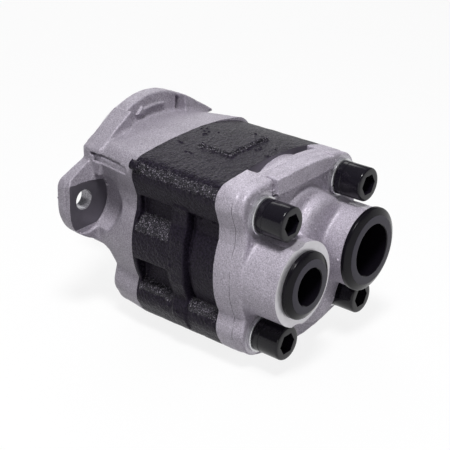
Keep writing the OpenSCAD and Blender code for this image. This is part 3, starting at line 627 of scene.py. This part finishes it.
# ---------------------------------------------------------------- front cover
def front_cover():
    s = Space((-68, -43, -71), (68, 5, 49), 0.5)
    side = np.abs(s.x)
    stepped = EAR_STEP * (s.y < EAR_STEP_Y)

    def past(line):
        a, b, c = line
        return a * side + b * s.z - c

    # Flange disc and ears; the ends of the ears are stepped
    disc = s.slab(s.round_bar(0, 0, FLANGE_R), 2, -FLANGE_T, 0.9)
    upper_edge = past(EAR_TOP)
    ear = both(side - EAR_X + stepped, upper_edge, 4)
    ear = both(ear, past(EAR_CORNER) - stepped, 4)
    ear = both(ear, past(EAR_BOTTOM), 4)
    slant = -(s.y + 5.2) * 0.94 + upper_edge * 0.3 - 0.13 * np.maximum(side - 50, 0)
    ear_slab = both(s.slab(ear, 2, -FLANGE_T - 2.2, 0.6), slant, 0.35)
    flange = either(disc, ear_slab, 2)

    # Pads beside the arrow pocket
    left = both(-0.528 * s.x + 0.849 * s.z - 46.2, s.x + 20.5, 0.4)
    right = both(0.528 * s.x + 0.849 * s.z - 45.6, 22 - s.x, 0.4)
    pad = s.slab(both(either(left, right), both(side - 45.5, -s.z, 1), 0.8), 0, -PAD_T, 0.4)

    # Block, narrower at the flange than at the seam, with a notch under its upper edges
    seam_end = s.section(casing_outline(FRONT_BOSS_R))
    flange_end = s.section(casing_outline(BOSS_R) * (0.905, 0.985))
    along = np.clip((-FLANGE_T - s.y) / (-FLANGE_T - FRONT_SEAM), 0, 1)
    block = flange_end * (1 - along) + seam_end * along
    ledge = both(both(np.abs(s.z - 21.6) - 1.8, -0.8 - block), np.abs(s.y + 20.5) - 13, 0.4)
    notch = both(both(np.abs(s.z - 23.4) - 0.7, -1.5 - block), np.abs(s.y + 16.8) - 11.5, 0.3)
    notch = both(either(ledge, notch), 38 - side)
    profile = either(BLOCK_BOTTOM - s.z, s.y - FOOT_FRONT, 10)
    block = both(both(block, profile, 2), np.maximum(s.y + 5, -41.5 - s.y))
    body = without(either(either(flange, pad, 0.9), block, 2.4), notch, 0.4)

    # Raised arrow that shows the turning direction
    r = np.hypot(s.x, s.z)
    turn = np.degrees(np.arctan2(s.x, s.z))
    off_line = np.abs(r - (FLANGE_R - 6.5))
    stem = both(off_line - 0.9, (np.abs(turn) - 13) * 0.67)
    head = both(off_line - 2.8 * (1 - (-12 - turn) / 8), both(turn + 12, -20 - turn) * 0.67)
    arrow = s.slab(either(stem, head), 0, -FLANGE_T - 1.6, 0.6)
    body = either(body, arrow, 0.5)

    # Gap between the arrow's pocket and the right pad
    gap = both(np.abs(s.x - 20.3) - 1.5, np.maximum(30.5 - s.z, r - FLANGE_R + 1.6), 0.5)
    gap = both(gap, np.maximum(s.y + FLANGE_T - 4, -PAD_T - 1 - s.y), 0.5)
    body = without(body, gap, 0.4)

    # Scallops that keep the bolts' washers clear, as cast
    for sign in (-1, 1):
        around_bolt = s.round_bar(sign * BOLT_X, EAR_CLEAR_Z, EAR_CLEAR_R)
        clear = both(around_bolt, s.y + FLANGE_T + 0.4, 0)
        cone = around_bolt - (s.y + 18.5)
        reach = both(both(clear, cone * 0.707, 0.8), s.z - 10.9 + 0.15 * (side - 53), 0.8)
        body = without(body, reach, 0.5)
    body = body + 0.04 * s.noise(5) + 0.025 * s.noise(1.3)
    obj = cast("front_cover_casting", s, body)
    obj.data.materials.append(FRONT_ALUMINIUM_SHADED)

    # Machining
    combine(obj, box("face", FAR, (0, 20), FAR), finish=BRIGHT)
    combine(obj, box("seam", FAR, (-60, FRONT_SEAM), FAR), finish=FRONT_ALUMINIUM_SHADED)
    pilot = turned(
        "pilot",
        [(0, PILOT_H), (PILOT_R - 1, PILOT_H), (PILOT_R, PILOT_H - 1), (PILOT_R, -0.4), (0, -0.4)],
    )
    combine(obj, pilot, "UNION", BRIGHT)
    for sign in (-1, 1):
        x = sign * BOLT_X
        spot = [(x - 20, 14.1), (x + 0.6, 10.1), (x + 12.3, 8.2)]
        spot += arc(x, EAR_CLEAR_Z, 16.6, 60, 153, 32) + [(x - 20, -16)]
        if sign > 0:
            spot = [(x - (px - x), pz) for px, pz in spot]
        # The spot faces are painted dark as shade
        combine(obj, prism("spot", spot, -FLANGE_T, -FLANGE_T - 3), finish=DARK_IRON_AND_SHADE)
        # The bolt hole's wall carries painted shade
        combine(obj, rod("bolt_hole", BOLT_HOLE_R, 1, -12, x), finish=SHADED_HOLE_WALL)
    combine(obj, rod("seal_seat", SEAL_SEAT_R, 8, -9), finish=BRIGHT)
    combine(obj, rod("ring_groove", RING_GROOVE_R, -0.8, -2), finish=BRIGHT)
    combine(obj, rod("tunnel", TUNNEL_R, 0, -45), finish=BRIGHT)
    shade(obj)
    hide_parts("front_cover")
    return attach(obj, "casing")


# ---------------------------------------------------------------- gear housing
def off_top_pad(x, y):
    """How far a point lies outside the pad on top of the housing, less than 0 inside it."""
    return np.abs(x - TOP_PAD_X) - TOP_PAD_HALF_X, np.abs(y - TOP_PAD_Y) - TOP_PAD_HALF_Y


def coarseness(x, y, z):
    """How coarse the housing's cast skin is at a point, from 0 to 1."""

    def near(*terms):
        return np.exp(-sum(t * t for t in terms)).astype(np.float32)

    corner = near((x + 47.8) / 3.0, (z - 26.0) / 3.2)
    pad_edge = near((np.maximum(*off_top_pad(x, y)) - 0.5) / 1.1) * (z > 25)
    most = np.maximum(corner, pad_edge)
    front = np.maximum(np.abs(y - POCKET_Y) - 10.5, 0) / 1.2
    rear = np.maximum(np.abs(y + 84) - 8.5, 0) / 1.2
    slope = (np.abs(x) - 46) * 0.9
    for height, across in ((-4.1, front), (-41.2, front), (-41.7, rear)):
        shelf = near((z - height + slope) / 1.5, across) * (np.abs(x) > 42.4)
        most = np.maximum(most, shelf)
    return most


def sparkle(obj):
    """Gives the coarse places of the housing the coarse paint, whose brightest grains are painted
    glints.
    """
    mesh = obj.data
    centres = np.zeros(len(mesh.polygons) * 3)
    mesh.polygons.foreach_get("center", centres)
    x, y, z = centres.reshape(-1, 3).T / MM
    index = np.zeros(len(mesh.polygons), int)
    mesh.polygons.foreach_get("material_index", index)
    chance = np.random.default_rng(3).uniform(0.25, 0.75, len(index))
    mesh.materials.append(PAINT_COARSE_GLINTS)
    index[(coarseness(x, y, z) > chance) & (index == 0)] = len(mesh.materials) - 1
    mesh.polygons.foreach_set("material_index", index.tolist())


def gear_housing():
    s = Space((-54, -98, -71), (54, -35, 37), 0.55)
    outline = s.section(casing_outline())
    body = s.slab(outline, -37, -96, 0)

    # Pockets, a recess and a slot in both sides; their lower ends are sloping shelves
    for sign in (-1, 1):
        x = sign * s.x
        inner, out = 30 - x, x - SHELF_X
        for top, foot, slope in POCKETS:
            pocket = both(both(s.z - top, inner), foot - s.z - slope * out, 0.5)
            pocket = both(pocket, np.abs(s.y - POCKET_Y) - POCKET_HALF, 0.8)
            body = without(body, both(pocket, POCKET_FLOOR_X - x, 0.8), 0.8)
        ends = both(s.z - 10, both(-39.5 - s.z - 0.6 * out, inner), 1.5)
        recess = both(both(s.y - RECESS_Y, ends), -RECESS_DEPTH - outline, 1)
        body = without(body, recess, 0.8)
        slot = both(both(s.y - RECESS_Y, SLOT_REAR_Y - s.y), both(s.z - 8, -38 - s.z, 1), 0.5)
        slot = both(slot, both(-SLOT_DEPTH - outline, inner), 0.5)
        body = without(body, slot, 0.5)

    # Raised pad and strip, and the stub of a casting gate at the front
    pad_plan = both(*off_top_pad(s.x, s.y), 0.5)
    pad = both(both(pad_plan, 10 - s.z), outline - 1.5, 0.5)
    strip = both(s.block((-60, -30), (-65, -74), (-57, 12), 0.5), outline - 1.0, 0.5)
    strip = both(strip, -49.8 - s.x, 0.5)
    body = either(either(body, pad, 0.5), strip, 0.5)
    stub = np.hypot(s.x + 48.9, s.z - 27.1) - 2.5
    body = either(body, both(stub, -43.8 - s.y, 1.6), 0.8)

    # Skin: fine all over, coarse on the upper left corner, the pad's edges and the shelves
    body = body + 0.05 * s.noise(5) + (0.03 + 0.26 * coarseness(s.x, s.y, s.z)) * s.noise(0.75)
    obj = cast("gear_housing_casting", s, body)
    obj.data.materials.append(PAINT)

    # Machining
    combine(obj, box("front", FAR, (FRONT_SEAM, 0), FAR), finish=DARK_IRON_AND_SHADE)
    combine(obj, box("rear", FAR, (-120, REAR_SEAM), FAR), finish=DARK_IRON_AND_SHADE)
    for z in (0, -GEAR_CENTRES):
        combine(obj, rod("gear_bore", GEAR_BORE_R, -30, -100, 0, z), finish=BRIGHT)
    for sign in (-1, 1):
        channel = rod("channel", CHANNEL_R, -56.5, -100, sign * CHANNEL_X, MID_Z, 64)
        combine(obj, channel, finish=BRIGHT)
    for x, z in SCREW_PLACES:
        combine(obj, rod("screw_hole", SCREW_HOLE_R, -30, -100, x, z, 64), finish=BRIGHT)
    sparkle(obj)
    shade(obj)
    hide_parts("gear_housing")
    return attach(obj, "casing")


# ---------------------------------------------------------------- rear cover
def rear_cover():
    s = Space((-54, -134.5, -71), (54, -92, 37), 0.5)

    # Slab, a little smaller behind its wavy parting line
    wave = 0.35 * np.sin(s.z / 4.1) + 0.25 * np.sin(s.z / 1.7 + 1) + 0.3 * np.sin(s.x / 3.3)
    behind = np.clip((PARTING_Y + wave - s.y) / 0.5, 0, 1)
    outline = s.section(casing_outline()) + 0.32 * behind
    body = s.slab(outline, -80, REAR_FACE, 2.0)

    # Crescent hollow along the top of the seam
    dome = s.round_bar(0, 0, DOME_R)
    crescent = both(np.abs(s.x) - CRESCENT_X, np.maximum(-dome, COVER_Y - s.y), 0.8)
    body = without(body, both(crescent, 24 - s.z, 0.8), 0.8)

    # Swelling over the upper bearing, and a raised bar with a thin groove around it
    bearing = s.slab(s.round_bar(0, 0, BEARING_R), COVER_Y, BEARING_FACE, 3)
    body = either(body, bearing, 2)
    sides = np.maximum(BAR_LEFT - s.x, s.x - BAR_RIGHT)
    ends = np.maximum(sides, BAR_FOOT + 0.012 * s.x - s.z)
    around = both(both(np.abs(ends - 0.4) - 0.7, -1.5 - body), both(s.z - 33, s.y + 106))
    body = without(body, around)
    bar = both(both(outline + 0.3, s.y - COVER_Y, 0), both(ends, BAR_FACE - s.y, 0.25), 0.25)
    body = either(body, bar)

    # Chamber between the ports, and the port bosses
    upper = s.round_bar(CHAMBER_X, CHAMBER_TOP, CHAMBER_R)
    lower = s.round_bar(CHAMBER_X, CHAMBER_LOW, CHAMBER_R)
    middle, half = (CHAMBER_TOP + CHAMBER_LOW) / 2, (CHAMBER_TOP - CHAMBER_LOW) / 2
    between = both(np.abs(s.x - CHAMBER_X) - CHAMBER_R, np.abs(s.z - middle) - half)
    chamber = s.slab(either(either(upper, lower), between), COVER_Y, CHAMBER_FACE, 5)
    body = either(body, chamber, 2.4)
    for sign, port in ((-1, PRESSURE), (1, SUCTION)):
        boss = s.slab(s.round_bar(sign * PORT_X, MID_Z, port["boss"]), COVER_Y, -133, 0)
        body = either(body, boss, 2.2)
    body = body + 0.04 * s.noise(5) + 0.025 * s.noise(1.2)
    obj = cast("rear_cover_casting", s, body)
    obj.data.materials.append(REAR_ALUMINIUM)

    # Machining
    combine(obj, box("seam", FAR, (REAR_SEAM, -60), FAR), finish=REAR_ALUMINIUM)
    combine(obj, box("port_face", FAR, (-150, PORT_FACE), FAR), finish=BRIGHT)
    for x, z in SCREW_PLACES:
        combine(obj, rod("seat", SEAT_R, SEAT_Y, -140, x, z), finish=SEAT)
        combine(obj, rod("screw_hole", SCREW_HOLE_R, -90, -112, x, z, 64), finish=BRIGHT)
    for sign, port in ((-1, PRESSURE), (1, SUCTION)):
        bore, bottom = port["bore"], PORT_FACE + 28
        profile = [
            (0, bottom), (bore, bottom), (bore, PORT_FACE + 1.2), (bore + 1.2, PORT_FACE),
            (bore + 1.2, PORT_FACE - 1), (0, PORT_FACE - 1),
        ]
        combine(obj, turned("bore", profile, sign * PORT_X, MID_Z), finish=BRIGHT)
        channel = rod("channel", CHANNEL_R, -90, -107.8, sign * CHANNEL_X, MID_Z, 64)
        combine(obj, channel, finish=BRIGHT)
    shade(obj)
    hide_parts("rear_cover")
    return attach(obj, "casing")


# ---------------------------------------------------------------- screws, washers and plugs
def joined(name, parts):
    """One object from several."""
    bm = bmesh.new()
    for part in parts:
        bm.from_mesh(part.data)
    mesh = bpy.data.meshes.new(name)
    bm.to_mesh(mesh)
    bm.free()
    for material in parts[0].data.materials:
        mesh.materials.append(material)
    for part in parts:
        bpy.data.objects.remove(part)
    return new_object(name, mesh)


def cap_screw(x, z):
    profile = [
        (0, THREAD_END), (THREAD_R - 0.8, THREAD_END), (THREAD_R, THREAD_END - 1),
        (THREAD_R, HEAD_SEAT), (HEAD_R - 0.3, HEAD_SEAT), (HEAD_R, HEAD_SEAT - 0.3),
        (HEAD_R, HEAD_TOP + 1.1), (HEAD_R - 0.08, HEAD_TOP + 0.7), (HEAD_R - 0.3, HEAD_TOP + 0.35),
        (HEAD_R - 0.65, HEAD_TOP + 0.1), (HEAD_R - 1.1, HEAD_TOP), (6.2, HEAD_TOP), (0, HEAD_TOP),
    ]
    screw = turned("screw", profile, x, z)
    screw.data.materials.append(BLACK_OXIDE)
    bottom = HEAD_TOP + SOCKET_DEPTH
    profile = [(0, bottom), (SOCKET_R, bottom), (SOCKET_R, -140), (0, -140)]
    socket = turned("socket", profile, steps=6)
    socket.data.transform(Matrix.Rotation(math.radians(30), 4, "Y"))
    socket.data.transform(Matrix.Translation((x * MM, 0, z * MM)))
    combine(screw, socket, finish=BLACK_OXIDE)
    return screw


def ring(name, outer, y_front, y_rear, x, z, bevel, finish):
    """A washer."""
    profile = [
        (WASHER_HOLE_R, y_front), (outer - bevel, y_front), (outer, y_front - bevel),
        (outer, y_rear + bevel), (outer - bevel, y_rear), (WASHER_HOLE_R, y_rear),
    ]
    obj = turned(name, profile, x, z)
    obj.data.materials.append(finish)
    return obj


def spring_washer(x, z):
    """A ring with a slanting split."""
    obj = ring("spring", SPRING_WASHER_R, WASHER_TOP, HEAD_SEAT, x, z, 0.35, BLACK_OXIDE)
    middle = (WASHER_TOP + HEAD_SEAT) / 2
    split = box("split", (5, 12), (-6, 6), (-0.4, 0.4))
    split.data.transform(Matrix.Rotation(math.radians(-25), 4, "X"))
    split.data.transform(Matrix.Rotation(math.radians(30), 4, "Y"))
    split.data.transform(Matrix.Translation((x * MM, middle * MM, z * MM)))
    combine(obj, split, finish=BLACK_OXIDE)
    return obj


def plain_washer(x, z):
    return ring("plain", PLAIN_WASHER_R, SEAT_Y, WASHER_TOP, x, z, 0.3, ZINC)


def fasteners():
    screws = joined("cap_screw_set", [cap_screw(x, z) for x, z in SCREW_PLACES])
    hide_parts("cap_screws")
    plain_set = joined("plain_washer_set", [plain_washer(x, z) for x, z in SCREW_PLACES])
    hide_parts("plain_washers")
    spring_set = joined("spring_washer_set", [spring_washer(x, z) for x, z in SCREW_PLACES])
    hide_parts("spring_washers")
    for obj in (screws, plain_set, spring_set):
        shade(obj, 40)
        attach(obj, "casing")


def transit_plug(name, node, body, sign, port):
    """A push-in plug with a collar whose flat ring is finished apart: rougher, and painted lighter
    as a reflection.
    """
    rim, hollow, shank = port["rim"], port["hollow"], port["bore"] - 0.05
    nose = hollow + (rim - hollow) * 0.5
    top = PORT_FACE - 4.3
    profile = [
        (0, PORT_FACE + 14), (shank - 0.8, PORT_FACE + 14), (shank, PORT_FACE + 13.2),
        (shank, PORT_FACE), (rim - 0.3, PORT_FACE), (rim, PORT_FACE - 0.3),
        (rim, PORT_FACE - 1.9), (rim - 0.15, PORT_FACE - 2.3), (rim - 0.5, PORT_FACE - 2.5),
        (nose + 0.5, top + 0.15), (nose, top), (hollow + 0.4, top), (hollow, top + 0.4),
        (hollow, PORT_FACE + 12), (0, PORT_FACE + 12),
    ]
    plug = turned(name, profile, sign * PORT_X, MID_Z, 160)
    plug.data.materials.append(PLUG_BLACK)
    plug.data.materials.append(PLUG_FACE_REFLECTION)
    # The collar's flat ring takes the lighter material, a painted reflection
    for face in plug.data.polygons:
        if face.normal.y < -0.95 and face.center.y < (PORT_FACE - 3) * MM:
            face.material_index = 1
    shade(plug, 40)
    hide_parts(node)
    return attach(plug, body)


def dress_inner_nodes():
    """Gives the pieces inside, which keep their CAD meshes, their materials."""
    blocks = ["front_bearing_block", "rear_bearing_block"]
    bushes = ["front_drive_bush", "front_driven_bush", "rear_drive_bush", "rear_driven_bush"]
    covers = ["shaft_seal", "front_cover_seal", "rear_cover_seal"]
    balance = ["front_balance_seal", "rear_balance_seal"]
    shafts = ["drive_gear_shaft", "driven_gear_shaft"]
    finishes = {
        STEEL: shafts + ["front_dowels", "rear_dowels", "seal_spring"],
        BLACK_OXIDE: ["shaft_key", "seal_retaining_ring"],
        BRIGHT: blocks,
        BRONZE: bushes,
        RUBBER: covers + balance,
        STRIP: ["front_backup_strip", "rear_backup_strip"],
    }
    for finish, nodes in finishes.items():
        for node in nodes:
            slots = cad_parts[node].material_slots
            if not slots:
                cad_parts[node].data.materials.append(finish)
            for slot in slots:
                slot.material = finish


# ---------------------------------------------------------------- studio
FLOOR_Z, FLOOR_REACH, WALL_TOP = -68.2, 4000, 1000
LAMP_TARGET = Vector((0, -0.06, -0.02))
LAMPS = (
    # name, place in metres, size in metres, watts
    ("key", (-0.36, -0.36, 1.18), 0.3, 13.8),
    ("back", (0.82, 0.92, 0.72), 0.8, 4.2),
    ("side", (-1.05, -0.70, 0.42), 0.35, 1.15),
)


def soft_world():
    """A dim sky, a little brighter overhead."""
    world = bpy.data.worlds.new("studio")
    bpy.context.scene.world = world
    world.use_nodes = True
    tree = world.node_tree
    place = tree.nodes.new("ShaderNodeTexCoord")
    split = tree.nodes.new("ShaderNodeSeparateXYZ")
    ramp = tree.nodes.new("ShaderNodeValToRGB")
    tree.links.new(place.outputs["Generated"], split.inputs[0])
    tree.links.new(split.outputs["Z"], ramp.inputs["Fac"])
    stops = ramp.color_ramp.elements
    stops[0].position, stops[0].color = 0.0, (0.05, 0.05, 0.053, 1)
    stops[1].position, stops[1].color = 0.9, (0.235, 0.235, 0.245, 1)
    tree.links.new(ramp.outputs["Color"], tree.nodes["Background"].inputs["Color"])


def lamps():
    for name, place, size, power in LAMPS:
        data = bpy.data.lights.new(name, "AREA")
        data.energy, data.size = power, size
        lamp = bpy.data.objects.new(name, data)
        bpy.context.scene.collection.objects.link(lamp)
        lamp.location = place
        lamp.rotation_euler = (LAMP_TARGET - Vector(place)).to_track_quat("-Z", "Y").to_euler()


def backdrop():
    """A floor and low walls that the camera and reflections see as white, and that keep shadows."""
    reach = (-FLOOR_REACH, FLOOR_REACH)
    sides = [(reach, reach, (-90, FLOOR_Z))]
    for end in reach:
        wall = (end, end + 20)
        sides += [(wall, reach, (-90, WALL_TOP)), (reach, wall, (-90, WALL_TOP))]
    floor = joined("floor", [box("side", *side) for side in sides])
    s = Shader("floor_white", Metallic=0.0, Roughness=0.9, Specular_IOR_Level=0.1)
    path = s.node("LightPath").outputs
    mirrored = s.either(path["Is Camera Ray"], path["Is Glossy Ray"])
    seen = s.either(mirrored, path["Is Transmission Ray"])
    s.set("Base Color", s.ramp(seen, [(0.0, (0.30,)), (1.0, (0.97,))]))
    white = s.node("Emission")
    mix = s.node("MixShader")
    s.link(s.calculate("MULTIPLY", seen, 0.85), mix.inputs["Fac"])
    s.link(s.surface.outputs[0], mix.inputs[1])
    s.link(white.outputs[0], mix.inputs[2])
    s.link(mix.outputs[0], s.tree.nodes["Material Output"].inputs["Surface"])
    floor.data.materials.append(s.material)


def camera():
    """The photograph's viewpoint: azimuth -50.5 degrees, elevation 24.9, a roll of 0.82."""
    data = bpy.data.cameras.new("camera")
    data.sensor_width, data.lens = 36, 96.77
    obj = bpy.data.objects.new("camera", data)
    bpy.context.scene.collection.objects.link(obj)
    turn, rise, roll = (math.radians(a) for a in (-50.505, 24.914, 0.822))
    flat = math.cos(rise)
    back = Vector((math.sin(turn) * flat, -math.cos(turn) * flat, math.sin(rise)))
    level = (-back).to_track_quat("-Z", "Y").to_matrix()
    obj.rotation_euler = (level @ Matrix.Rotation(roll, 3, "Z")).to_euler()
    obj.location = (-0.4540, -0.4340, 0.2561)
    bpy.context.scene.camera = obj


front_cover()
gear_housing()
rear_cover()
fasteners()
transit_plug("pressure_plug_turned", "pressure_plug", "pressure_plug_body", -1, PRESSURE)
transit_plug("suction_plug_turned", "suction_plug", "suction_plug_body", 1, SUCTION)
dress_inner_nodes()
camera()
soft_world()
lamps()
backdrop()
bpy.context.scene.view_settings.view_transform = "Standard"
